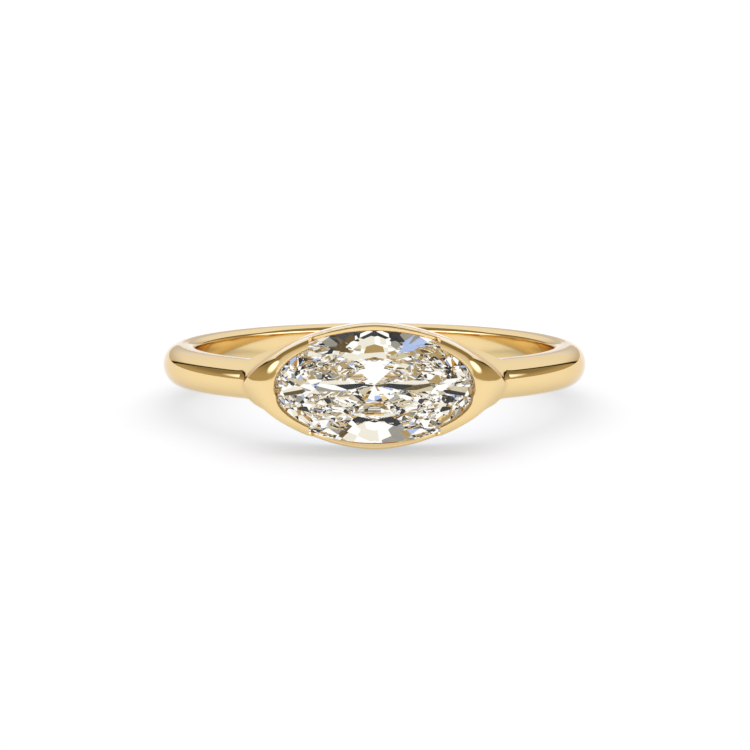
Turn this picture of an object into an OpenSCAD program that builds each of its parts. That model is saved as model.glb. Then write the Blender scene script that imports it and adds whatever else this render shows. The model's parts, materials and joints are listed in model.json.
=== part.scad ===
// A gold finger ring with an oval stone set across the finger. The stone sits in a
// pointed cup whose two ends fold over it, and a thin rail runs along its long sides.
// The ring lies on its side, on the lower edge of the cup and the back of the band.

/* [Finger] */
// Diameter of the finger hole
bore_d = 17.3; // [15:0.1:21]

/* [Band] */
// Thickness of the band, measured out from the finger
band_t = 1.55; // [1.2:0.05:2.2]
// Width of the band at the two sides of the finger
band_w = 1.86; // [1.5:0.02:2.6]
// Width of the band at the back of the finger
back_w = 2.08; // [1.5:0.02:2.8]
// Rounding of the edges that touch the finger
inner_round = 0.32; // [0.15:0.01:0.45]

/* [Stone] */
// Length of the stone, across the finger
stone_l = 9.84; // [8.5:0.02:10.6]
// Width of the stone, along the finger
stone_w = 5.26; // [4.4:0.02:5.4]
// Height of the crown, from the girdle to the table
crown_h = 0.66; // [0.4:0.01:1]
// Thickness of the girdle
girdle_t = 0.12; // [0.08:0.01:0.2]
// Depth of the pavilion, from the girdle to the point
pavilion_h = 1.98; // [1.6:0.01:2.6]
// Table size as a share of the stone
table_share = 0.56; // [0.5:0.01:0.64]
// Gap between the point of the stone and the finger
culet_gap = 0.05; // [0.02:0.01:0.5]

/* [Setting] */
// Reach of each pointed tip of the cup beyond the stone
tip_reach = 1.2; // [0.9:0.02:1.6]
// Width of the rail on each side of the stone
rail_t = 0.3; // [0.2:0.01:0.6]
// Height of the folded ends above the middle of the girdle
lip_h = 0.42; // [0.3:0.01:0.6]
// How far the tips of the cup drop below its lips
tip_drop = 1.5; // [0.8:0.05:1.8]
// Height of the side rails above the middle of the girdle
rail_h = 0.16; // [0.1:0.01:0.25]
// Length of the stretch where the stone is open to the side rails
open_l = 5.74; // [4:0.02:7]
// Step from the side of the cup out to the shoulder that carries it
ledge = 0.06; // [0.04:0.01:0.12]
// Length over which the shoulder flares into the band
flare = 1.6; // [1:0.05:2.4]
// Rounding of the cup's upper edge
cup_round = 0.12; // [0.06:0.01:0.2]
// Rounding of the shoulder's outer edge beside the stone
shoulder_round = 0.12; // [0.08:0.01:0.2]
// Gap between the stone and its seat
seat_gap = 0.03; // [0.02:0.005:0.06]
// How far the folded ends reach over the edge of the stone
lip_reach = 0.1; // [0.05:0.01:0.16]
// Opening under the stone, as a share of its length and width
window_share = 0.6; // [0.4:0.01:0.72]

/* [Hidden] */

gold = "#d9b25f";
diamond = "#e9ecee";

bore_r = bore_d / 2;
band_r = bore_r + band_t;
stone_x = stone_l / 2;
stone_z = stone_w / 2;
cup_l = stone_l + 2 * tip_reach;
cup_w = stone_w + 2 * rail_t;
// The girdle's middle, the table, the rails and the lips, all as distances from
// the middle of the finger hole towards the front.
girdle_y = bore_r + culet_gap + pavilion_h + girdle_t / 2;
table_y = girdle_y + girdle_t / 2 + crown_h;
rail_r = girdle_y + rail_h;
lip_y = girdle_y + lip_h;

// The cup's outline seen from the front is a pointed oval: these two powers give
// it nearly straight flanks and soft tips.
tip_power = 1.8;
flank_power = 0.74;
// Past its tips the outline goes on falling at this slope, so the flare fades out.
fade = 1.3;

function mix(a, b, t) = a + (b - a) * t;
function clamp01(t) = max(0, min(1, t));
function ease(t) = let (u = clamp01(t)) u * u * (3 - 2 * u);
function smooth_max(a, b, k) =
    let (h = max(0, k - abs(a - b)) / k) max(a, b) + h * h * k / 4;

// Half width of a pointed oval of half length a and half width b, at x from its middle
function oval_half(x, a, b) =
    abs(x) < a ? b * pow(1 - pow(abs(x) / a, tip_power), flank_power) : fade * (a - abs(x));

// Half width of the band at an angle from the front, with no cup on it
function band_half(angle) =
    abs(angle) <= 90 ? band_w / 2 : mix(band_w / 2, back_w / 2, pow(cos(angle), 2));

// Half width of the shoulder and band at a distance x to the side
function half_width(x, angle) =
    abs(angle) >= 90 ? band_half(angle)
    : smooth_max(band_w / 2, oval_half(x, cup_l / 2 + ledge, cup_w / 2 + ledge), flare);

// The section of the band is a round-cornered oblong. Its outer corners are so large
// that they meet, and they tighten from the cup's tips to the open stretch. Its inner
// corners run on past the finger hole, which is then cut through them.
corner_steps = 4;
inner_steps = 3;
flat_min = 0.04;
bore_cover = 0.1;

function tighten(x) = ease((abs(x) - open_l / 2) / ((cup_l - open_l) / 2));

function section(angle) =
    let (
        x_out = abs(angle) < 90 ? band_r * sin(angle) : cup_l,
        half = half_width(x_out, angle),
        t = tighten(x_out),
        corner_z = min(mix(shoulder_round, half, t), half - flat_min),
        corner_r = mix(shoulder_round, band_t / 2, t),
        outer = [for (i = [0 : corner_steps]) let (a = 90 * i / corner_steps)
            [band_r - corner_r * (1 - cos(a)), corner_z * (1 - sin(a))]],
        inner = [for (i = [0 : inner_steps - 1]) let (a = 90 * i / inner_steps)
            [bore_r + inner_round * (1 - sin(a)), inner_round * (1 - cos(a))]],
        lining = [[bore_r - bore_cover, inner_round + bore_cover / 4]],
        side = concat(outer, inner, lining)
    )
    // Each row is a radius, a set-back from the side and the side, 1 or -1
    concat(
        [for (p = side) [p[0], p[1], 1]],
        [for (i = [len(side) - 1 : -1 : 0]) [side[i][0], side[i][1], -1]]
    );

// The sides stand straight under the open stretch. Towards the tips they lean, so that
// the shoulder is narrower at the finger than at the cup.
function place_row(angle, row) =
    let (
        lean = tighten(band_r * sin(angle)),
        z = (half_width(mix(row[0], band_r, lean) * sin(angle), angle) - row[1]) * row[2]
    )
    [row[0] * sin(angle), -row[0] * cos(angle), z];

// Angles of the sections: close together under the cup, wider round the band
widest_sine = 0.95;
shoulder_angle = asin(min(widest_sine, (cup_l / 2 + flare / 2) / band_r));
shoulder_cuts = 19;
band_cuts = 17;
half_angles = concat(
    [for (i = [0 : shoulder_cuts - 1]) shoulder_angle * i / shoulder_cuts],
    [for (i = [0 : band_cuts]) mix(shoulder_angle, 180, i / band_cuts)]
);
angles = concat(
    [for (i = [len(half_angles) - 2 : -1 : 1]) -half_angles[i]],
    half_angles
);

// A closed loop of rings of points, each joined to the next
module closed_sweep(rings) {
    n = len(rings);
    m = len(rings[0]);
    polyhedron(
        points = [for (ring = rings) each ring],
        faces = [for (i = [0 : n - 1]) for (j = [0 : m - 1])
            let (i2 = (i + 1) % n, j2 = (j + 1) % m)
            each [
                [i * m + j, i2 * m + j2, i2 * m + j],
                [i * m + j, i * m + j2, i2 * m + j2]
            ]
        ]
    );
}

// A stack of rings of points. Each ring is its own mirror image, so its two ends are
// closed by strips that run from each point to its mirror image.
module stack(rings) {
    n = len(rings);
    m = len(rings[0]);
    last = (n - 1) * m;
    polyhedron(
        points = [for (ring = rings) each ring],
        faces = concat(
            [for (j = [0 : m / 2 - 2]) [j, j + 1, m - 2 - j, m - 1 - j]],
            [for (i = [0 : n - 2]) for (j = [0 : m - 1]) let (j2 = (j + 1) % m)
                each [
                    [i * m + j, (i + 1) * m + j2, i * m + j2],
                    [i * m + j, (i + 1) * m + j, (i + 1) * m + j2]
                ]
            ],
            [for (j = [0 : m / 2 - 2])
                [last + m - 1 - j, last + m - 2 - j, last + j + 1, last + j]]
        )
    );
}

module shoulder_and_band() {
    closed_sweep([for (a = angles) [for (row = section(a)) place_row(a, row)]]);
}

// The cup stands forward from the shoulder, as a block that the seat is then cut from.
// Its foot is arched like the band and lies inside the shoulder.
cup_sides = 64;
foot_share = 0.6;
foot_r = mix(bore_r, band_r, foot_share);

function signed_pow(v, p) = sign(v) * pow(abs(v), p);
function oval_point(u, inset) =
    [(cup_l / 2 - inset) * signed_pow(cos(u), 2 / tip_power),
     (cup_w / 2 - inset) * signed_pow(sin(u), 2 * flank_power)];
function around_cup(i) = 360 * (i + 0.5) / cup_sides;

// How far a point lies outside the stone, as a share of the stone's own size
function beyond_stone(p) =
    max(0, sqrt(pow(p[0] / stone_x, 2) + pow(p[1] / stone_z, 2)) - 1);
tip_beyond = cup_l / stone_l - 1;
function cup_top(p) = lip_y - tip_drop * pow(beyond_stone(p) / tip_beyond, 2);

function cup_ring(inset, fall) =
    [for (i = [0 : cup_sides - 1])
        let (p = oval_point(around_cup(i), inset)) [p[0], -(cup_top(p) - fall), p[1]]];

module cup() {
    round_steps = 3;
    foot = [for (i = [0 : cup_sides - 1])
        let (p = oval_point(around_cup(i), 0)) [p[0], -sqrt(pow(foot_r, 2) - pow(p[0], 2)), p[1]]];
    // Rings of the top, as shares of the cup's half width in from its rounded edge
    top_shares = [0.1, 0.24, 0.4, 0.68];
    stack(concat(
        [foot],
        [for (k = [0 : round_steps]) let (a = 90 * k / round_steps)
            cup_ring(cup_round * (1 - cos(a)), cup_round * (1 - sin(a)))],
        [for (share = top_shares) cup_ring(cup_round + share * cup_w / 2, 0)]
    ));
}

function ellipse_ring(half_l, half_w, y, sides) =
    [for (i = [0 : sides - 1]) let (a = 360 * (i + 0.5) / sides)
        [half_l * cos(a), -y, half_w * sin(a)]];

seat_sides = 60;

// The room for the stone: a mouth over the crown, the girdle's groove and the
// pavilion's cone, each the seat gap away from the stone
module seat() {
    grow = seat_gap;
    low_y = girdle_y - girdle_t / 2 - grow;
    high_y = girdle_y + girdle_t / 2 + grow;
    lip_rise = lip_reach * crown_h / (stone_z * (1 - table_share));
    window_y = low_y - pavilion_h * (1 - window_share);
    stack([
        ellipse_ring(stone_x * window_share, stone_z * window_share, bore_r - band_t, seat_sides),
        ellipse_ring(stone_x * window_share, stone_z * window_share, window_y, seat_sides),
        ellipse_ring(stone_x + grow, stone_z + grow, low_y, seat_sides),
        ellipse_ring(stone_x + grow, stone_z + grow, high_y, seat_sides),
        ellipse_ring(stone_x - lip_reach, stone_z - lip_reach, high_y + lip_rise, seat_sides),
        ellipse_ring(stone_x - lip_reach, stone_z - lip_reach, table_y + band_t, seat_sides)
    ]);
}

// What is taken off the long sides, down to the rails
module open_sides() {
    difference() {
        translate([-open_l / 2, -table_y - band_t, -cup_w])
            cube([open_l, table_y + band_t - bore_r, 2 * cup_w]);
        finger_cylinder(rail_r);
    }
}

// A cylinder round the finger's own line, longer than the ring is wide
module finger_cylinder(r) {
    cylinder(h = 3 * cup_w, r = r, center = true, $fn = 180);
}

module ring_body_upright() {
    difference() {
        union() {
            shoulder_and_band();
            cup();
        }
        finger_cylinder(bore_r);
        seat();
        open_sides();
    }
}

// The stone is an oval brilliant: a table, 8 stars, 8 kites and 16 upper halves on
// the crown, 8 mains and 16 lower halves on the pavilion
mains = 8;
step = 360 / mains;
star_share = 0.8;
lower_share = 0.2;
girdle_parts = 2;
function unit_point(radius, angle, y) = [stone_x * radius * cos(angle), -y, stone_z * radius * sin(angle)];

crown_y = girdle_y + girdle_t / 2;
pavilion_y = girdle_y - girdle_t / 2;
star_y = crown_y + crown_h * (1 - star_share * cos(step / 2)) / (1 - table_share);
lower_y = pavilion_y - pavilion_h * (1 - lower_share * cos(step / 2));

// Height that a half facet's plane loses at a radius of 1, between its two girdle ends.
// The facet passes through both ends and an inner point of its own.
function scallop(radius, rise, offset) =
    let (
        chord = cos(step / 4),
        inner = radius * cos(step / 4)
    )
    rise * (cos(offset) - chord) / (chord - inner);

girdle_points = 2 * mains * girdle_parts;
function girdle_offset(i) = (i % girdle_parts) * step / 2 / girdle_parts - step / 4;
function girdle_top(i) = crown_y - scallop(star_share, star_y - crown_y, girdle_offset(i));
function girdle_low(i) = pavilion_y + scallop(lower_share, pavilion_y - lower_y, girdle_offset(i));

module oval_stone_upright() {
    table = [for (i = [0 : mains - 1]) unit_point(table_share, i * step, table_y)];
    stars = [for (i = [0 : mains - 1]) unit_point(star_share, (i + 0.5) * step, star_y)];
    top = [for (i = [0 : girdle_points - 1])
        unit_point(1, i * 360 / girdle_points, girdle_top(i))];
    low = [for (i = [0 : girdle_points - 1])
        unit_point(1, i * 360 / girdle_points, girdle_low(i))];
    lowers = [for (i = [0 : mains - 1]) unit_point(lower_share, (i + 0.5) * step, lower_y)];
    culet = [[0, -(pavilion_y - pavilion_h), 0]];
    t0 = 0;
    s0 = t0 + mains;
    g0 = s0 + mains;
    p0 = g0 + girdle_points;
    l0 = p0 + girdle_points;
    c0 = l0 + mains;
    per = girdle_points / mains;
    mid = per / 2;
    function g(i) = g0 + (i + girdle_points) % girdle_points;
    function p(i) = p0 + (i + girdle_points) % girdle_points;
    function s(i) = s0 + (i + mains) % mains;
    function l(i) = l0 + (i + mains) % mains;
    faces = concat(
        [[for (i = [mains - 1 : -1 : 0]) t0 + i]],
        [for (i = [0 : mains - 1]) [t0 + i, t0 + (i + 1) % mains, s(i)]],
        [for (i = [0 : mains - 1]) [t0 + i, s(i), g(i * per), s(i - 1)]],
        [for (i = [0 : mains - 1]) concat([for (k = [mid : -1 : 0]) g(i * per + k)], [s(i)])],
        [for (i = [0 : mains - 1]) concat([for (k = [per : -1 : mid]) g(i * per + k)], [s(i)])],
        [for (i = [0 : girdle_points - 1]) [g(i), g(i + 1), p(i + 1), p(i)]],
        [for (i = [0 : mains - 1]) concat([for (k = [0 : mid]) p(i * per + k)], [l(i)])],
        [for (i = [0 : mains - 1]) concat([for (k = [mid : per]) p(i * per + k)], [l(i)])],
        [for (i = [0 : mains - 1]) [p(i * per), l(i), c0, l(i - 1)]]
    );
    polyhedron(points = concat(table, stars, top, low, lowers, culet), faces = faces);
}

// The pose at rest: the ring is turned until the lowest point under the cup and the
// lowest point at the back of the band are level.
front_rim = [for (row = section(0)) [-row[0], (half_width(0, 0) - row[1]) * row[2]]];
back_rim = [for (row = section(180)) [row[0], (half_width(0, 180) - row[1]) * row[2]]];
function height(p, tilt) = p[1] * cos(tilt) - p[0] * sin(tilt);
function lowest(rim, tilt, i = 0, best = 0) =
    i == len(rim) ? rim[best]
    : lowest(rim, tilt, i + 1, height(rim[i], tilt) < height(rim[best], tilt) ? i : best);
function settle(tilt, tries) =
    tries < 1 ? tilt
    : let (f = lowest(front_rim, tilt), b = lowest(back_rim, tilt))
        settle(atan((b[1] - f[1]) / (b[0] - f[0])), tries - 1);
first_tilt = 6;
settle_rounds = 4;
rest_tilt = settle(first_tilt, settle_rounds);
rest_lift = -height(lowest(front_rim, rest_tilt), rest_tilt);
// The reach to the front and back of the turned ring, to centre it on the origin
front_reach = max(
    table_y * cos(rest_tilt) + table_share * stone_z * sin(rest_tilt),
    rail_r * cos(rest_tilt) + cup_w / 2 * sin(rest_tilt)
);
back_reach = band_r * cos(rest_tilt);
rest_shift = (front_reach - back_reach) / 2;

module at_rest() {
    translate([0, rest_shift, rest_lift])
        rotate([-rest_tilt, 0, 0])
            children();
}

module ring_body() {
    color(gold)
        at_rest()
            ring_body_upright();
}

module oval_stone() {
    color(diamond)
        at_rest()
            oval_stone_upright();
}

ring_body();
oval_stone();
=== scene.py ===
"""A gold finger ring lying on its side, with an oval stone set across the finger."""

import json
import math

import bpy
from mathutils import Matrix, Vector


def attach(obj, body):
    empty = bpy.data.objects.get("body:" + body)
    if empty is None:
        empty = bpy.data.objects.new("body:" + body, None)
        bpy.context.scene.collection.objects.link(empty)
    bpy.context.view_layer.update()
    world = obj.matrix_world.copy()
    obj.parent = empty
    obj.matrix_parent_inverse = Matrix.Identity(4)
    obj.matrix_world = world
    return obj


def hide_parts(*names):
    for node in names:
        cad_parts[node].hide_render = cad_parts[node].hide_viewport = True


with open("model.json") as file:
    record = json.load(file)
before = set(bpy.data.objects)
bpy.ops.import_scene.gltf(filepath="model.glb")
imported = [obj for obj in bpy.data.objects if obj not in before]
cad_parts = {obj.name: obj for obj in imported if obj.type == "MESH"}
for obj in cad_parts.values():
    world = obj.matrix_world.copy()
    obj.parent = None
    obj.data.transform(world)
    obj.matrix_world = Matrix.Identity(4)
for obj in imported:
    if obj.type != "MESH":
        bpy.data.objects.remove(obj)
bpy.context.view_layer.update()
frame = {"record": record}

# The ring is modelled upright in millimetres: X along the stone, -Y to the front and
# Z along the finger. The finger hole's mount then gives its place and lean at rest.
MM = 0.001
HOLE = frame["record"]["mounts"][0]
BORE_R = HOLE["dims"]["r_mm"]
HOLE_CENTRE = Vector(HOLE["pos_m"])
LEAN = math.atan2(HOLE["axis"][1], HOLE["axis"][2])

# Band: thickness, width at the sides and at the back, and its inner edge
BAND_T = 1.55
BAND_R = BORE_R + BAND_T
BAND_W = 1.86
BACK_W = 2.08
INNER_ROUND = 0.32

# Stone: half its length and width, its heights, its table's share, its gap to the finger
STONE_X = 9.84 / 2
STONE_Z = 5.26 / 2
CROWN_H = 0.66
GIRDLE_T = 0.12
PAVILION_H = 1.98
TABLE_SHARE = 0.56
CULET_GAP = 0.05
GIRDLE_Y = BORE_R + CULET_GAP + PAVILION_H + GIRDLE_T / 2
TABLE_Y = GIRDLE_Y + GIRDLE_T / 2 + CROWN_H

# Cup: a pointed oval, and how the shoulders flare out of the band to meet it
CUP_X = 12.24 / 2
CUP_Z = 5.86 / 2
TIP_POWER = 1.8
FLANK_POWER = 0.74
PAST_TIP = 1.3
LEDGE = 0.015
FLARE = 1.6
HEAD_TAPER = 0.08
SHOULDER_ROUND = 0.04
CUP_ROUND = 0.12
VALLEY = 0.4
FOOT_SHARE = 0.6

# Folded ends: their rise over the girdle, and how they fall to their tip and outline
LIP_RISE = 0.42
LIP_Y = GIRDLE_Y + LIP_RISE
TIP_DROP = 1.5
DROP_FROM = 4.4
EDGE_SLOPE = 1.1
LIP_FADE = 0.15
TIP_FADE = 0.42
FADE_FROM = 4.2
FADE_TO = 5.7

# Rails beside the stone
RAIL_RISE = 0.16
RAIL_R = GIRDLE_Y + RAIL_RISE
OPEN_X = 5.74 / 2
RAIL_ROUND = 0.12
RAIL_TILT = 0.1

# Seat: its gap round the stone, the shelf below, the window to the finger, the lips above
SEAT_GAP = 0.03
SEAT_HOLLOW = 0.1
SHELF_SHARE = 0.95
WINDOW_SHARE = 0.6
LIP_REACH = 0.27

SHARP = math.radians(35)
SAME_POINT = 1e-5


def mix(a, b, t):
    return a + (b - a) * t


def ease(t):
    t = max(0.0, min(1.0, t))
    return t * t * (3 - 2 * t)


def smooth_max(a, b, k):
    h = max(0.0, k - abs(a - b)) / k
    return max(a, b) + h * h * k / 4


def oval_half(x, a, b):
    """Half width, at x from its middle, of a pointed oval of half length a and half width b.

    Past the tip it goes on below zero, so that the shoulder fades into the band.
    """
    if abs(x) < a:
        return b * (1 - (abs(x) / a) ** TIP_POWER) ** FLANK_POWER
    return PAST_TIP * (a - abs(x))


def half_width(x, turn):
    """Half width of the shoulder and band at a distance x to the side, turn degrees from the front."""
    if abs(turn) >= 90:
        return mix(BAND_W / 2, BACK_W / 2, math.cos(math.radians(turn)) ** 2)
    return smooth_max(BAND_W / 2, oval_half(x, CUP_X + LEDGE, CUP_Z + LEDGE), FLARE)


# Making and shaping

def clear_selection():
    if bpy.context.object and bpy.context.object.mode != "OBJECT":
        bpy.ops.object.mode_set(mode="OBJECT")
    bpy.ops.object.select_all(action="DESELECT")


def named(name):
    piece = bpy.context.object
    piece.name = piece.data.name = name
    return piece


def only(piece):
    clear_selection()
    piece.select_set(True)
    bpy.context.view_layer.objects.active = piece


def leave_edit_mode():
    """Turn all the faces outwards and go back to object mode."""
    bpy.ops.mesh.select_all(action="SELECT")
    bpy.ops.mesh.normals_make_consistent(inside=False)
    bpy.ops.object.mode_set(mode="OBJECT")


def boolean(body, tool, how):
    """Join the tool to the body, or cut it out of it, and delete the tool."""
    only(body)
    step = body.modifiers.new(how.lower(), "BOOLEAN")
    step.operation = how
    step.solver = "EXACT"
    step.object = tool
    bpy.ops.object.modifier_apply(modifier=step.name)
    bpy.data.objects.remove(tool)


# The band and shoulders, a torus whose round section is pressed into the band's

# Steps of half a section: outer face, outer corner, side, inner corner, inner face
FLAT, ARC, SIDE, INNER, LINING = 6, 16, 4, 8, 6
HALF_STEPS = FLAT + ARC + SIDE + INNER + LINING
SECTION_STEPS = 2 * HALF_STEPS
HOOP_STEPS = 440
# This share of the hoop's steps lies within this many degrees of the front
FRONT_SHARE = 0.62
FRONT_TURN = 45
PAST_CUP = 2 * CUP_X


def hoop_turn(step):
    """Degrees from the front of one of the hoop's sections, closest together at the front."""
    share = 2 * step / HOOP_STEPS - 1
    near = min(abs(share), FRONT_SHARE) / FRONT_SHARE * FRONT_TURN
    far = max(0.0, abs(share) - FRONT_SHARE) / (1 - FRONT_SHARE) * (180 - FRONT_TURN)
    return math.copysign(near + far, share)


def section_row(step, half, corner_z, corner_r):
    """Radius, and either a share of the flat face or a set-back from the side, of one point."""
    if step <= FLAT:
        return BAND_R, step / FLAT, None
    step -= FLAT
    if step <= ARC:
        a = math.radians(90 * step / ARC)
        return BAND_R - corner_r * (1 - math.cos(a)), None, corner_z * (1 - math.sin(a))
    step -= ARC
    if step <= SIDE:
        return mix(BAND_R - corner_r, BORE_R + INNER_ROUND, step / SIDE), None, 0.0
    step -= SIDE
    if step <= INNER:
        a = math.radians(90 * step / INNER)
        return BORE_R + INNER_ROUND * (1 - math.sin(a)), None, INNER_ROUND * (1 - math.cos(a))
    step -= INNER
    return BORE_R, 1 - step / LINING, None


def section_corner(x, turn):
    """Half width of the section, its corner's width and depth, and its share of the round band."""
    half = half_width(x, turn)
    t = ease((abs(x) - OPEN_X) / (CUP_X - OPEN_X))
    return half, min(mix(SHOULDER_ROUND, half, t), half), mix(SHOULDER_ROUND, BAND_T / 2, t), t


def hoop_front(x, z):
    """Distance of the hoop's outer face from the finger's line, measured to the front."""
    half, corner_z, corner_r, t = section_corner(x, math.degrees(math.asin(x / BAND_R)))
    past = min(1.0, max(0.0, abs(z) - half + corner_z) / corner_z)
    return math.sqrt((BAND_R - corner_r * (1 - math.sqrt(1 - past ** 2))) ** 2 - x ** 2)


def hoop_point(turn, around):
    """A point of the band or shoulder, at a turn from the front and a step around the section."""
    step = min(around, SECTION_STEPS - around)
    sine = math.sin(math.radians(turn))
    cosine = math.cos(math.radians(turn))
    # The back half is plain band, as the front half is where it has passed the cup
    x_out = BAND_R * sine if abs(turn) < 90 else PAST_CUP
    half, corner_z, corner_r, t = section_corner(x_out, turn)
    radius, share, set_back = section_row(step, half, corner_z, corner_r)
    own_half = half_width(mix(radius, BAND_R, t) * sine, turn)
    own_half -= HEAD_TAPER * (1 - t) * (BAND_R - radius) / BAND_T
    if set_back is None:
        flat_back = corner_z if step <= FLAT else INNER_ROUND
        z = share * (own_half - flat_back)
    else:
        z = own_half - set_back
    return Vector((radius * sine, -radius * cosine, math.copysign(z, HALF_STEPS - around)))


def whole_steps(angle, steps):
    return round(angle / (2 * math.pi) * steps) % steps


def make_hoop():
    """Round wire spun into a hoop, then pressed into the band's section and flared."""
    clear_selection()
    bpy.ops.mesh.primitive_circle_add(
        vertices=SECTION_STEPS, radius=BAND_T / 2, location=(BAND_R, 0, 0), rotation=(math.pi / 2, 0, 0))
    hoop = named("ring_metal")
    bpy.ops.object.transform_apply(location=True, rotation=True, scale=True)
    bpy.ops.object.mode_set(mode="EDIT")
    bpy.ops.mesh.select_all(action="SELECT")
    bpy.ops.mesh.spin(steps=HOOP_STEPS, angle=2 * math.pi, center=(0, 0, 0), axis=(0, 0, 1))
    bpy.ops.mesh.select_all(action="SELECT")
    bpy.ops.mesh.remove_doubles(threshold=MM)
    leave_edit_mode()
    for vertex in hoop.data.vertices:
        x, y, z = vertex.co
        step = whole_steps(math.atan2(y, x), HOOP_STEPS)
        around = whole_steps(math.atan2(z, math.hypot(x, y) - BAND_R), SECTION_STEPS)
        vertex.co = hoop_point(hoop_turn(step), around)
    return hoop


# The cup, a ball pressed flat, in rows: inner and top face, rounded edge, wall, valley, foot

CUP_AROUND = 288
INNER_ROWS, TOP_ROWS, EDGE_ROWS, WALL_ROWS, VALLEY_ROWS, FOOT_ROWS = 10, 36, 8, 3, 10, 5
CUP_ROWS = INNER_ROWS + TOP_ROWS + EDGE_ROWS + WALL_ROWS + VALLEY_ROWS + FOOT_ROWS
CAP_REACH = 1.8
EDGE_TILT = math.atan(EDGE_SLOPE)
EDGE_START = CUP_ROUND * (1 - math.sin(EDGE_TILT))
VALLEY_END = math.radians(82)
VALLEY_SINK = 0.03
SINK_POWER = 4
LEAST_VALLEY = VALLEY_SINK / 4
VALLEY_SHARE = 0.9
TINY_TURN = 1e-3
FOOT_R = mix(BORE_R, BAND_R, FOOT_SHARE)


def signed_power(value, power):
    return math.copysign(abs(value) ** power, value)


def oval_point(angle, inset):
    x = (CUP_X - inset) * signed_power(math.cos(angle), 2 / TIP_POWER)
    z = (CUP_Z - inset) * signed_power(math.sin(angle), 2 * FLANK_POWER)
    return x, z


def outward(angle):
    """Unit vector across the cup's outline, away from the stone."""
    ahead = Vector(oval_point(angle + TINY_TURN, 0)) - Vector(oval_point(angle - TINY_TURN, 0))
    return Vector((ahead.y, -ahead.x)).normalized()


def cup_top(x, inset):
    """Distance of the cap's face from the finger's line, falling off to its tip and its outline."""
    beyond = max(0.0, abs(x) - DROP_FROM) / (CUP_X - DROP_FROM)
    fade = mix(LIP_FADE, TIP_FADE, ease((abs(x) - FADE_FROM) / (FADE_TO - FADE_FROM)))
    return LIP_Y - TIP_DROP * beyond ** 2 - EDGE_SLOPE * fade * math.exp(-inset / fade)


def cup_point(angle, row):
    if row <= INNER_ROWS:
        x, z = (row / INNER_ROWS * value for value in oval_point(angle, CAP_REACH))
        return Vector((x, -cup_top(x, CAP_REACH), z))
    row -= INNER_ROWS
    if row <= TOP_ROWS:
        inset = mix(EDGE_START, CAP_REACH, (1 - row / TOP_ROWS) ** 2)
        x, z = oval_point(angle, inset)
        return Vector((x, -cup_top(x, inset), z))
    row -= TOP_ROWS
    if row <= EDGE_ROWS:
        x, z = oval_point(angle, EDGE_START)
        top = cup_top(x, EDGE_START)
        a = mix(EDGE_TILT, math.pi / 2, row / EDGE_ROWS)
        x, z = oval_point(angle, CUP_ROUND * (1 - math.sin(a)))
        return Vector((x, -top + CUP_ROUND * (math.cos(EDGE_TILT) - math.cos(a)), z))
    row -= EDGE_ROWS
    x, z = oval_point(angle, EDGE_START)
    wall_top = cup_top(x, EDGE_START) - CUP_ROUND * math.cos(EDGE_TILT)
    x, z = oval_point(angle, 0)
    room = half_width(x, 0) - abs(z)
    valley = max(LEAST_VALLEY, min(VALLEY, VALLEY_SHARE * room))
    if row <= WALL_ROWS:
        return Vector((x, -mix(wall_top, hoop_front(x, z) + valley, row / WALL_ROWS), z))
    row -= WALL_ROWS
    if row <= VALLEY_ROWS:
        a = VALLEY_END * row / VALLEY_ROWS
        out_x, out_z = outward(angle)
        far = valley * (1 - math.cos(a))
        x += far * out_x
        z += far * out_z
        rise = valley * (1 - math.sin(a)) - VALLEY_SINK * (row / VALLEY_ROWS) ** SINK_POWER
        return Vector((x, -hoop_front(x, z) - rise, z))
    row -= VALLEY_ROWS
    shrink = 1 - row / FOOT_ROWS
    x *= shrink
    return Vector((x, -math.sqrt(FOOT_R ** 2 - x ** 2), z * shrink))


def make_cup():
    clear_selection()
    bpy.ops.mesh.primitive_uv_sphere_add(segments=CUP_AROUND, ring_count=CUP_ROWS, radius=1)
    cup = named("cup")
    for vertex in cup.data.vertices:
        place = vertex.co
        row = round(math.acos(max(-1.0, min(1.0, place.z))) / math.pi * CUP_ROWS)
        # Turned by half a step, so that no corner of the cup meets one of the hoop's
        vertex.co = cup_point(math.atan2(place.y, place.x) + math.pi / CUP_AROUND, row)
    return cup


# The cutters

def stacked_ovals(name, rings, sides):
    """A solid drawn out ring by ring, each ring an oval of half length, half width and distance."""
    clear_selection()
    half_l, half_w, y = rings[0]
    bpy.ops.mesh.primitive_circle_add(
        vertices=sides, radius=1, fill_type="NGON", location=(0, -y, 0), rotation=(math.pi / 2, 0, 0))
    piece = named(name)
    bpy.ops.object.mode_set(mode="EDIT")
    bpy.ops.mesh.select_all(action="SELECT")
    bpy.ops.transform.resize(value=(half_l, 1, half_w), center_override=(0, -y, 0))
    for next_l, next_w, next_y in rings[1:]:
        bpy.ops.mesh.extrude_region_move(TRANSFORM_OT_translate={"value": (0, y - next_y, 0)})
        bpy.ops.transform.resize(
            value=(next_l / half_l, 1, next_w / half_w), center_override=(0, -next_y, 0))
        half_l, half_w, y = next_l, next_w, next_y
    leave_edit_mode()
    bpy.ops.object.transform_apply(location=True, rotation=True, scale=True)
    return piece


SEAT_SIDES = 240
LIP_ROUND = 0.16
LIP_STEPS = 8
LIP_END = math.radians(78)


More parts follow.
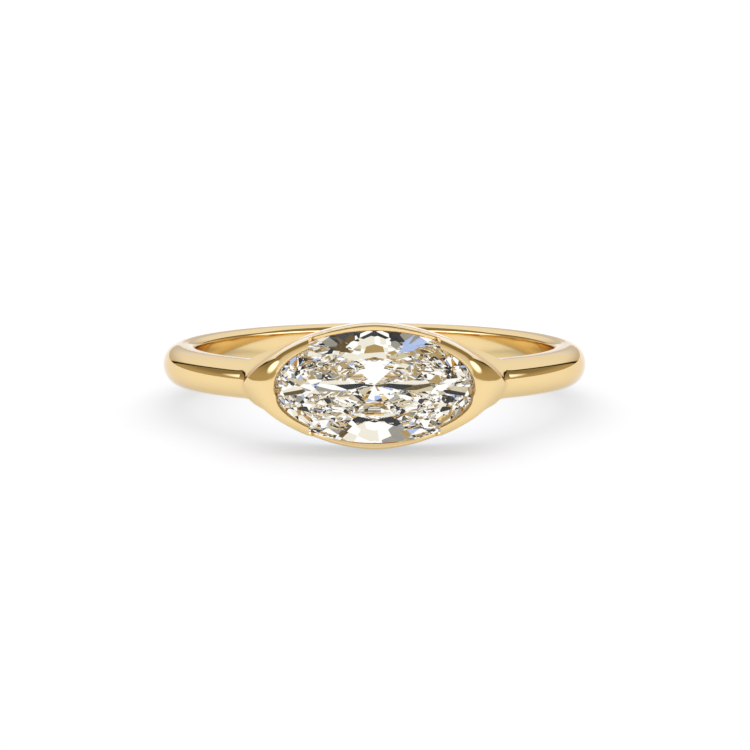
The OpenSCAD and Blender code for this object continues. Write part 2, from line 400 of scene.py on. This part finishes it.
def make_seat_cutter():
    low = GIRDLE_Y - GIRDLE_T / 2 - SEAT_GAP
    high = GIRDLE_Y + GIRDLE_T / 2 + SEAT_GAP
    rise = LIP_REACH * CROWN_H / (STONE_Z * (1 - TABLE_SHARE))
    shelf_y = low - PAVILION_H * (1 - SHELF_SHARE) - SEAT_HOLLOW
    window_y = low - PAVILION_H * (1 - WINDOW_SHARE) - SEAT_HOLLOW
    rings = [
        (STONE_X * WINDOW_SHARE, STONE_Z * WINDOW_SHARE, BORE_R - BAND_T),
        (STONE_X * WINDOW_SHARE, STONE_Z * WINDOW_SHARE, window_y),
        (STONE_X * SHELF_SHARE, STONE_Z * SHELF_SHARE, shelf_y),
        (STONE_X + SEAT_GAP, STONE_Z + SEAT_GAP, low),
        (STONE_X + SEAT_GAP, STONE_Z + SEAT_GAP, high),
        (STONE_X - LIP_REACH, STONE_Z - LIP_REACH, high + rise),
    ]
    for step in range(LIP_STEPS + 1):
        a = LIP_END * step / LIP_STEPS
        far = LIP_ROUND * (1 - math.cos(a)) - LIP_REACH
        rings.append((STONE_X + far, STONE_Z + far, LIP_Y - LIP_ROUND * (1 - math.sin(a))))
    far += LIP_ROUND
    rings.append((STONE_X + far, STONE_Z + far, LIP_Y + LIP_ROUND / math.tan(LIP_END)))
    rings.append((STONE_X + far, STONE_Z + far, TABLE_Y + BAND_T))
    return stacked_ovals("seat_cutter", rings, SEAT_SIDES)


RAIL_END_GAP = 0.02


def make_rail_cutter():
    """Between the rails the stone is seen whole, so nothing there reaches over its edge."""
    low = GIRDLE_Y - GIRDLE_T / 2 - SEAT_GAP
    half_l = STONE_X + SEAT_GAP
    half_w = STONE_Z + SEAT_GAP
    rings = [(half_l, half_w, low), (half_l, half_w, TABLE_Y + BAND_T)]
    piece = stacked_ovals("rail_cutter", rings, SEAT_SIDES)
    bpy.ops.object.mode_set(mode="EDIT")
    for side in (-1, 1):
        bpy.ops.mesh.select_all(action="SELECT")
        bpy.ops.mesh.bisect(
            plane_co=(side * (OPEN_X - RAIL_END_GAP), 0, 0), plane_no=(side, 0, 0), use_fill=True,
            clear_outer=True, threshold=SAME_POINT)
    bpy.ops.object.mode_set(mode="OBJECT")
    return piece


CUTTER_ACROSS = 48
CUTTER_ALONG = 160
CUTTER_MARGIN = 0.4
END_ROUND = 0.2
END_STEPS = 5


def rail_top(x, z):
    """Distance of the rail's face from the finger's line: it dips to the stone and to its edge."""
    inside = oval_half(x, CUP_X, CUP_Z) - abs(z)
    missing = max(0.0, min(1.0, 1 - inside / RAIL_ROUND))
    dip = RAIL_TILT * max(0.0, min(inside, CUP_Z - STONE_Z))
    return RAIL_R - dip - RAIL_ROUND * (1 - math.sqrt(1 - missing ** 2))


def make_side_cutter():
    """What is taken off the long sides: a slab whose underside is the rails' rounded face."""
    clear_selection()
    bpy.ops.mesh.primitive_grid_add(x_subdivisions=CUTTER_ACROSS, y_subdivisions=CUTTER_ALONG, size=2)
    cutter = named("side_cutter")
    for vertex in cutter.data.vertices:
        x = vertex.co.x * OPEN_X
        # The rows follow the cup's outline, so the rail's rounded edge comes out smooth
        z = vertex.co.y * (oval_half(x, CUP_X, CUP_Z) + CUTTER_MARGIN)
        vertex.co = Vector((x, -math.sqrt(rail_top(x, z) ** 2 - x ** 2), z))
    bpy.ops.object.mode_set(mode="EDIT")
    bpy.ops.mesh.select_all(action="SELECT")
    wide = OPEN_X
    rise = 0.0
    lift = LIP_Y - END_ROUND - RAIL_R
    bpy.ops.mesh.extrude_region_move(TRANSFORM_OT_translate={"value": (0, -lift, 0)})
    for step in range(1, END_STEPS + 1):
        a = math.pi / 2 * step / END_STEPS
        next_wide = OPEN_X + END_ROUND * (1 - math.cos(a))
        next_rise = END_ROUND * math.sin(a)
        bpy.ops.mesh.extrude_region_move(TRANSFORM_OT_translate={"value": (0, rise - next_rise, 0)})
        bpy.ops.transform.resize(value=(next_wide / wide, 1, 1), center_override=(0, 0, 0))
        wide, rise = next_wide, next_rise
    bpy.ops.mesh.extrude_region_move(TRANSFORM_OT_translate={"value": (0, -BAND_T, 0)})
    leave_edit_mode()
    return cutter


# The stone, cut facet by facet from a round blank of radius 1, then drawn out to its oval

CROWN_SIDE = 1
PAVILION_SIDE = -1


def facet(side, turn, slope, reach, level):
    """Cut off what lies past a plane that meets the level at a reach along the turn.

    The slope is how much nearer to the girdle the plane comes for each unit of reach.
    """
    a = math.radians(turn)
    normal = Vector((slope * math.cos(a), -side, slope * math.sin(a))).normalized()
    place = Vector((reach * math.cos(a), -level, reach * math.sin(a)))
    bpy.ops.mesh.select_all(action="SELECT")
    bpy.ops.mesh.bisect(
        plane_co=place, plane_no=normal, use_fill=True, clear_outer=True, threshold=SAME_POINT)


GIRDLE_SIDES = 96
MAINS = 8
STAR_SHARE = 0.8
PAVILION_TILT = 0.1
# Kites, arms, breaks and halves of the pavilion, from the culet out: how many, the turn of
# the first in shares of their step, where they start, and their slope as a share of the mean
PAVILION = (
    (8, 0.0, 0.0, 0.95),
    (8, 0.5, 0.0, 0.92),
    (16, 0.5, 0.4, 0.99),
    (32, 0.5, 0.62, 1.08),
)


def cut_crown(crown_y):
    """Eight mains, a pair of halves beside each, and eight stars round the table."""
    step = 360 / MAINS
    slope = CROWN_H / (1 - TABLE_SHARE)
    chord = math.cos(math.radians(step / 4))
    star_y = crown_y + slope * (1 - STAR_SHARE * math.cos(math.radians(step / 2)))
    half_slope = (star_y - crown_y) / (chord - STAR_SHARE * chord)
    for i in range(MAINS):
        turn = i * step
        facet(CROWN_SIDE, turn, slope, 1, crown_y)
        facet(CROWN_SIDE, turn - step / 4, half_slope, chord, crown_y)
        facet(CROWN_SIDE, turn + step / 4, half_slope, chord, crown_y)
    star_slope = (TABLE_Y - star_y) / (STAR_SHARE - TABLE_SHARE * math.cos(math.radians(step / 2)))
    for i in range(MAINS):
        facet(CROWN_SIDE, (i + 0.5) * step, star_slope, STAR_SHARE, star_y)


def cut_pavilion(pavilion_y):
    """Rows of flat facets, cut from the girdle in to the culet."""
    height = last_start = last_slope = 0.0
    rows = []
    for count, first, start, slope in PAVILION:
        height += (start - last_start) * last_slope
        rows.append((count, first, start, slope, height))
        last_start, last_slope = start, slope
    for count, first, start, slope, height in reversed(rows):
        level = pavilion_y - PAVILION_H * (1 - height)
        for i in range(count):
            facet(PAVILION_SIDE, (i + first) * 360 / count, PAVILION_H * slope, start, level)


def make_stone():
    clear_selection()
    bpy.ops.mesh.primitive_cylinder_add(
        vertices=GIRDLE_SIDES, radius=1, depth=2 * (CROWN_H + PAVILION_H),
        location=(0, -GIRDLE_Y, 0), rotation=(math.pi / 2, 0, 0))
    stone = named("cut_stone")
    bpy.ops.object.transform_apply(location=True, rotation=True, scale=True)
    bpy.ops.object.mode_set(mode="EDIT")
    facet(CROWN_SIDE, 0, 0, 0, TABLE_Y)
    cut_crown(GIRDLE_Y + GIRDLE_T / 2)
    cut_pavilion(GIRDLE_Y - GIRDLE_T / 2)
    bpy.ops.mesh.select_all(action="SELECT")
    bpy.ops.transform.resize(value=(STONE_X, 1, STONE_Z), center_override=(0, 0, 0))
    leave_edit_mode()
    # Facets that look to the finger take the second material, the mirror
    for face in stone.data.polygons:
        face.material_index = int(face.normal.y > PAVILION_TILT and face.center.y > -GIRDLE_Y)
    return stone


# Materials

def linear(code, alpha=1.0):
    """An sRGB hex colour as linear values."""
    parts = [int(code[i:i + 2], 16) / 255 for i in (1, 3, 5)]
    return [p / 12.92 if p <= 0.04045 else ((p + 0.055) / 1.055) ** 2.4 for p in parts] + [alpha]


def node(tree, kind, links=None, **settings):
    """Add a node with its settings, and link the named inputs to the given outputs."""
    made = tree.nodes.new(kind)
    for key, value in settings.items():
        if key in made.inputs:
            made.inputs[key].default_value = value
        else:
            setattr(made, key, value)
    for key, source in (links or {}).items():
        tree.links.new(source, made.inputs[key])
    return made


def new_material(name):
    material = bpy.data.materials.new(name)
    material.use_nodes = True
    tree = material.node_tree
    tree.nodes.clear()
    return material, tree


# Polishing leaves a faint haze on the gold that comes and goes over this distance
HAZE = 2 * MM
CLEAR_ROUGH = 0.035
HAZY_ROUGH = 0.075


def polished_gold():
    """18 carat yellow gold, cast and polished to a mirror: warm, and only just not perfect."""
    material, tree = new_material("polished_yellow_gold_18k")
    place = node(tree, "ShaderNodeTexCoord").outputs["Object"]
    haze = node(tree, "ShaderNodeTexNoise", {"Vector": place}, Scale=1 / HAZE, Detail=2.0)
    rough = node(tree, "ShaderNodeMapRange", {"Value": haze.outputs["Fac"]})
    rough.inputs["To Min"].default_value = CLEAR_ROUGH
    rough.inputs["To Max"].default_value = HAZY_ROUGH
    shader = node(tree, "ShaderNodeBsdfPrincipled", {"Roughness": rough.outputs["Result"]}, Metallic=1.0)
    shader.inputs["Base Color"].default_value = linear("#efd295")
    # Gold stays warm almost to its very edge
    shader.inputs["Specular Tint"].default_value = linear("#e8d6b0")
    # A thin clear lacquer against tarnish whitens the gold where it is seen at a flat angle
    shader.inputs["Coat Weight"].default_value = 0.85
    shader.inputs["Coat Roughness"].default_value = 0.03
    shader.inputs["Coat IOR"].default_value = 1.6
    node(tree, "ShaderNodeOutputMaterial", {"Surface": shader.outputs[0]})
    return material


def cut_diamond():
    """Colourless diamond, polished flat facets: it bends light hard.

    The true 2.42 would send light round so often that the facets blur, so it bends less.
    """
    material, tree = new_material("colourless_diamond")
    shader = node(tree, "ShaderNodeBsdfPrincipled", Roughness=0.0, IOR=1.9)
    shader.inputs["Transmission Weight"].default_value = 1.0
    shader.inputs["Base Color"].default_value = linear("#ffffff")
    # The table is to be looked into and not to glare, so it mirrors less than a real one
    shader.inputs["Specular Tint"].default_value = linear("#707070")
    node(tree, "ShaderNodeOutputMaterial", {"Surface": shader.outputs[0]})
    return material


def diamond_back():
    """The stone's underside, which throws all light back to the table, so it is a mirror."""
    material, tree = new_material("diamond_total_reflection")
    shader = node(tree, "ShaderNodeBsdfPrincipled", Roughness=0.0, Metallic=1.0)
    shader.inputs["Base Color"].default_value = linear("#ffffff")
    node(tree, "ShaderNodeOutputMaterial", {"Surface": shader.outputs[0]})
    return material


# Painted reflections and painted shade for the stone's facets. Light that comes through the stone meets
# these patches: white and cream for bright light, browns as a painted reflection of the gold, dark slate
# as painted shade, and blue and yellow as painted colour flashes. Each row gives the share of the
# directions, and the colour
PAINTED_STONE_PATCHES = (
    (0.27, "#fffefa"),
    (0.13, "#ece6d6"),
    (0.14, "#cbc0a2"),
    (0.09, "#ab905c"),
    (0.08, "#5f4e30"),
    (0.14, "#2e3035"),
    (0.11, "#97948a"),
    (0.022, "#a9bce4"),
    (0.012, "#35559f"),
    (0.006, "#ffd21f"),
)
# How bright the painted patches glow, how many fit across the room's directions, and their size on the
# ground
PAINTED_PATCH_GLOW = 1.05
ROOM_CELLS = 3.2
GROUND_CELL = 10 * MM
# Light with a transmission depth above this has come through the stone
THROUGH_STONE = 0.5
GROUND_GLOW = 0.56


def paint_stone_patches(tree, place, scale, plain, kind):
    """The plain shader, but with painted bright and dark patches, standing for reflections, shade and
    colour flashes, for light that comes through the stone.
    """
    cells = node(tree, "ShaderNodeTexVoronoi", {"Vector": place}, Scale=scale)
    pick = node(tree, "ShaderNodeSeparateColor", {0: cells.outputs["Color"]})
    tones = node(tree, "ShaderNodeValToRGB", {"Fac": pick.outputs[0]})
    tones.color_ramp.interpolation = "CONSTANT"
    start = 0.0
    for i, (share, colour) in enumerate(PAINTED_STONE_PATCHES):
        stop = tones.color_ramp.elements[0] if i == 0 else tones.color_ramp.elements.new(start)
        stop.color = linear(colour)
        start += share
    tones.color_ramp.elements.remove(tones.color_ramp.elements[-1])
    painted_patches = node(tree, kind, {"Color": tones.outputs["Color"]}, Strength=PAINTED_PATCH_GLOW)
    through = node(tree, "ShaderNodeLightPath").outputs["Transmission Depth"]
    inside = node(tree, "ShaderNodeMath", {0: through}, operation="GREATER_THAN")
    inside.inputs[1].default_value = THROUGH_STONE
    both = node(tree, "ShaderNodeMixShader", {0: inside.outputs[0], 1: plain, 2: painted_patches.outputs[0]})
    return both.outputs[0]


def white_ground():
    """Matt white card lit from below as well, as on a light table, so shadows stay faint. To light that
    has come through the stone it glows with painted patches of reflection and shade.
    """
    material, tree = new_material("lit_white_card")
    card = node(tree, "ShaderNodeBsdfDiffuse", Color=linear("#dbdbdb"))
    glow = node(tree, "ShaderNodeEmission", Color=linear("#ffffff"), Strength=GROUND_GLOW)
    both = node(tree, "ShaderNodeAddShader", {0: card.outputs[0], 1: glow.outputs[0]})
    place = node(tree, "ShaderNodeTexCoord").outputs["Object"]
    # Light that has come through the stone sees painted patches of reflection and shade on the card
    surface = paint_stone_patches(tree, place, 1 / GROUND_CELL, both.outputs[0], "ShaderNodeEmission")
    node(tree, "ShaderNodeOutputMaterial", {"Surface": surface})
    return material


def dress(piece, *materials):
    # The cuts leave empty slots behind. Clearing those loses the faces' numbers, so they are kept
    numbers = [face.material_index for face in piece.data.polygons]
    piece.data.materials.clear()
    for material in materials:
        piece.data.materials.append(material)
    piece.data.polygons.foreach_set("material_index", [min(n, len(materials) - 1) for n in numbers])


def lay_down(piece):
    """Turn the upright piece into its place at rest, in metres, with its origin at the world's."""
    turn = Matrix.Rotation(-LEAN, 4, "X")
    piece.data.transform(Matrix.Translation(HOLE_CENTRE) @ turn @ Matrix.Scale(MM, 4))
    piece.data.update()


ring = make_hoop()
boolean(ring, make_cup(), "UNION")
boolean(ring, make_seat_cutter(), "DIFFERENCE")
boolean(ring, make_side_cutter(), "DIFFERENCE")
boolean(ring, make_rail_cutter(), "DIFFERENCE")
only(ring)
lay_down(ring)
bpy.ops.object.shade_smooth_by_angle(angle=SHARP)
dress(ring, polished_gold())
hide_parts("ring_body")
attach(ring, "root")

stone = make_stone()
lay_down(stone)
dress(stone, cut_diamond(), diamond_back())
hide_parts("oval_stone")
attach(stone, "root")


# The ground, the light and the camera

GROUND_SIZE = 4

clear_selection()
bpy.ops.mesh.primitive_plane_add(size=GROUND_SIZE)
ground = named("ground")
dress(ground, white_ground())


# The studio is the same on both sides. The tent lies on the inner side of two planes,
# whose normals are given sideways, back and up.
BACK_EDGE = Vector((-0.615, 0.355, 1)).normalized()
FRONT_EDGE = Vector((-0.70, 4.7, 1)).normalized()
EDGE_SOFT = 0.02
# Tent: how bright it is at the ground, and from its rise up
TENT_LOW = 0.7
TENT_HIGH = 1.02
TENT_RISE = math.sin(math.radians(18))
# Room: how bright its sides are below and above, between which heights, and its front
ROOM_LOW = 0.5
ROOM_HIGH = 0.28
LOW_UP = math.sin(math.radians(3))
HIGH_UP = math.sin(math.radians(16))
ROOM_FRONT = 0.85
FRONT_WIDTH = math.cos(math.radians(50))
# Flag: a nearly black strip along the tent's edge
FLAG = 0.01
FLAG_WIDTH = 0.05
# Soft box: how bright it is, its direction and half size, and where its glow falls off,
# in squared shares of its half size
SOFTBOX = 2.2
SOFTBOX_TURN = math.radians(54)
SOFTBOX_UP = math.radians(13)
SOFTBOX_WIDE = math.sin(math.radians(36))
SOFTBOX_HIGH = math.sin(math.radians(9))
SOFTBOX_CORE = 0.1
SOFTBOX_EDGE = 1.6
SOFTBOX_FACING = 0.3
# Dim light is warm and bright light is white
WARM_BELOW = 0.5
WHITE_ABOVE = 0.95
WARM = (1.0, 0.82, 0.5, 1.0)
WHITE = (0.98, 1.0, 1.08, 1.0)


def studio_light():
    """A white tent above and behind, a dim room in front, a flag between, and two soft boxes."""
    world = bpy.data.worlds.new("light_tent")
    bpy.context.scene.world = world
    world.use_nodes = True
    tree = world.node_tree
    tree.nodes.clear()
    direction = node(tree, "ShaderNodeTexCoord").outputs["Generated"]
    axes = node(tree, "ShaderNodeSeparateXYZ", {"Vector": direction})
    side = node(tree, "ShaderNodeMath", {0: axes.outputs["X"]}, operation="ABSOLUTE")
    way = node(
        tree, "ShaderNodeCombineXYZ",
        {"X": side.outputs[0], "Y": axes.outputs["Y"], "Z": axes.outputs["Z"]})

    def along(heading):
        dot = node(tree, "ShaderNodeVectorMath", {0: way.outputs[0]}, operation="DOT_PRODUCT")
        dot.inputs[1].default_value = heading
        return dot.outputs["Value"]

    def ramp(value, low, high, from_value=0.0, to_value=1.0):
        step = node(tree, "ShaderNodeMapRange", {"Value": value}, interpolation_type="SMOOTHSTEP")
        step.inputs["From Min"].default_value = low
        step.inputs["From Max"].default_value = high
        step.inputs["To Min"].default_value = from_value
        step.inputs["To Max"].default_value = to_value
        return step.outputs[0]

    def combine(a, b, how):
        return node(tree, "ShaderNodeMath", {0: a, 1: b}, operation=how).outputs[0]

    def squared(value):
        return combine(value, value, "MULTIPLY")

    edge = combine(along(BACK_EDGE), along(FRONT_EDGE), "MINIMUM")
    in_tent = ramp(edge, -EDGE_SOFT, EDGE_SOFT)
    up = along(Vector((0, 0, 1)))
    tent = combine(in_tent, ramp(up, 0, TENT_RISE, TENT_LOW, TENT_HIGH), "MULTIPLY")
    front = ramp(along(Vector((0, -1, 0))), FRONT_WIDTH, 1, 0, ROOM_FRONT)
    sides = ramp(up, LOW_UP, HIGH_UP, ROOM_LOW, ROOM_HIGH)
    unflagged = ramp(edge, -FLAG_WIDTH - EDGE_SOFT, -FLAG_WIDTH, 1, FLAG)
    room = combine(combine(front, sides, "MAXIMUM"), unflagged, "MULTIPLY")
    level_part = math.cos(SOFTBOX_UP)
    ahead = Vector((
        level_part * math.sin(SOFTBOX_TURN), -level_part * math.cos(SOFTBOX_TURN), math.sin(SOFTBOX_UP)))
    across = Vector((math.cos(SOFTBOX_TURN), math.sin(SOFTBOX_TURN), 0))
    upward = ahead.cross(across)
    wide = squared(along(across / SOFTBOX_WIDE))
    high = squared(along(upward / SOFTBOX_HIGH))
    facing = ramp(along(ahead), 0, SOFTBOX_FACING)
    glow = ramp(combine(wide, high, "ADD"), SOFTBOX_CORE, SOFTBOX_EDGE, SOFTBOX, 0)
    box = combine(glow, facing, "MULTIPLY")
    level = combine(combine(tent, room, "MAXIMUM"), box, "MAXIMUM")
    whiteness = ramp(level, WARM_BELOW, WHITE_ABOVE)
    tint = node(tree, "ShaderNodeMix", {"Factor": whiteness}, data_type="RGBA")
    tint.inputs["A"].default_value = WARM
    tint.inputs["B"].default_value = WHITE
    back = node(tree, "ShaderNodeBackground", {"Strength": level, "Color": tint.outputs["Result"]})
    # Light that has come through the stone sees painted patches of reflection, shade and colour flashes
    # in place of the room
    surface = paint_stone_patches(tree, direction, ROOM_CELLS, back.outputs[0], "ShaderNodeBackground")
    node(tree, "ShaderNodeOutputWorld", {"Surface": surface})


studio_light()

# The camera stands DISTANCE millimetres off, and a millimetre there is SCALE_PX pixels
# wide. It aims a little below the finger hole's centre and to its right.
VIEW_UP = math.radians(12.1)
DISTANCE = 300
SCALE_PX = 20.7
FRAME_PX = 750
SENSOR = 36
AIM_BELOW = 0.58
AIM_RIGHT = 0.024
NEAR = 0.01
FAR = 10

camera_data = bpy.data.cameras.new("camera")
camera = bpy.data.objects.new("camera", camera_data)
bpy.context.scene.collection.objects.link(camera)
camera_data.sensor_width = SENSOR
camera_data.lens = SENSOR * SCALE_PX * DISTANCE / FRAME_PX
camera_data.clip_start = NEAR
camera_data.clip_end = FAR
view_up = Vector((0, math.sin(VIEW_UP), math.cos(VIEW_UP)))
target = HOLE_CENTRE - AIM_BELOW * MM * view_up + Vector((AIM_RIGHT * MM, 0, 0))
camera.location = target + DISTANCE * MM * Vector((0, -math.cos(VIEW_UP), math.sin(VIEW_UP)))
camera.rotation_euler = (math.pi / 2 - VIEW_UP, 0, 0)
bpy.context.scene.camera = camera

# Light goes round inside the stone many times before it comes out
ALL_BOUNCES = 64
STONE_BOUNCES = 48

scene = bpy.context.scene
scene.view_settings.view_transform = "Standard"
scene.cycles.caustics_reflective = False
scene.cycles.caustics_refractive = False
scene.cycles.max_bounces = ALL_BOUNCES
scene.cycles.transmission_bounces = STONE_BOUNCES
scene.cycles.glossy_bounces = STONE_BOUNCES
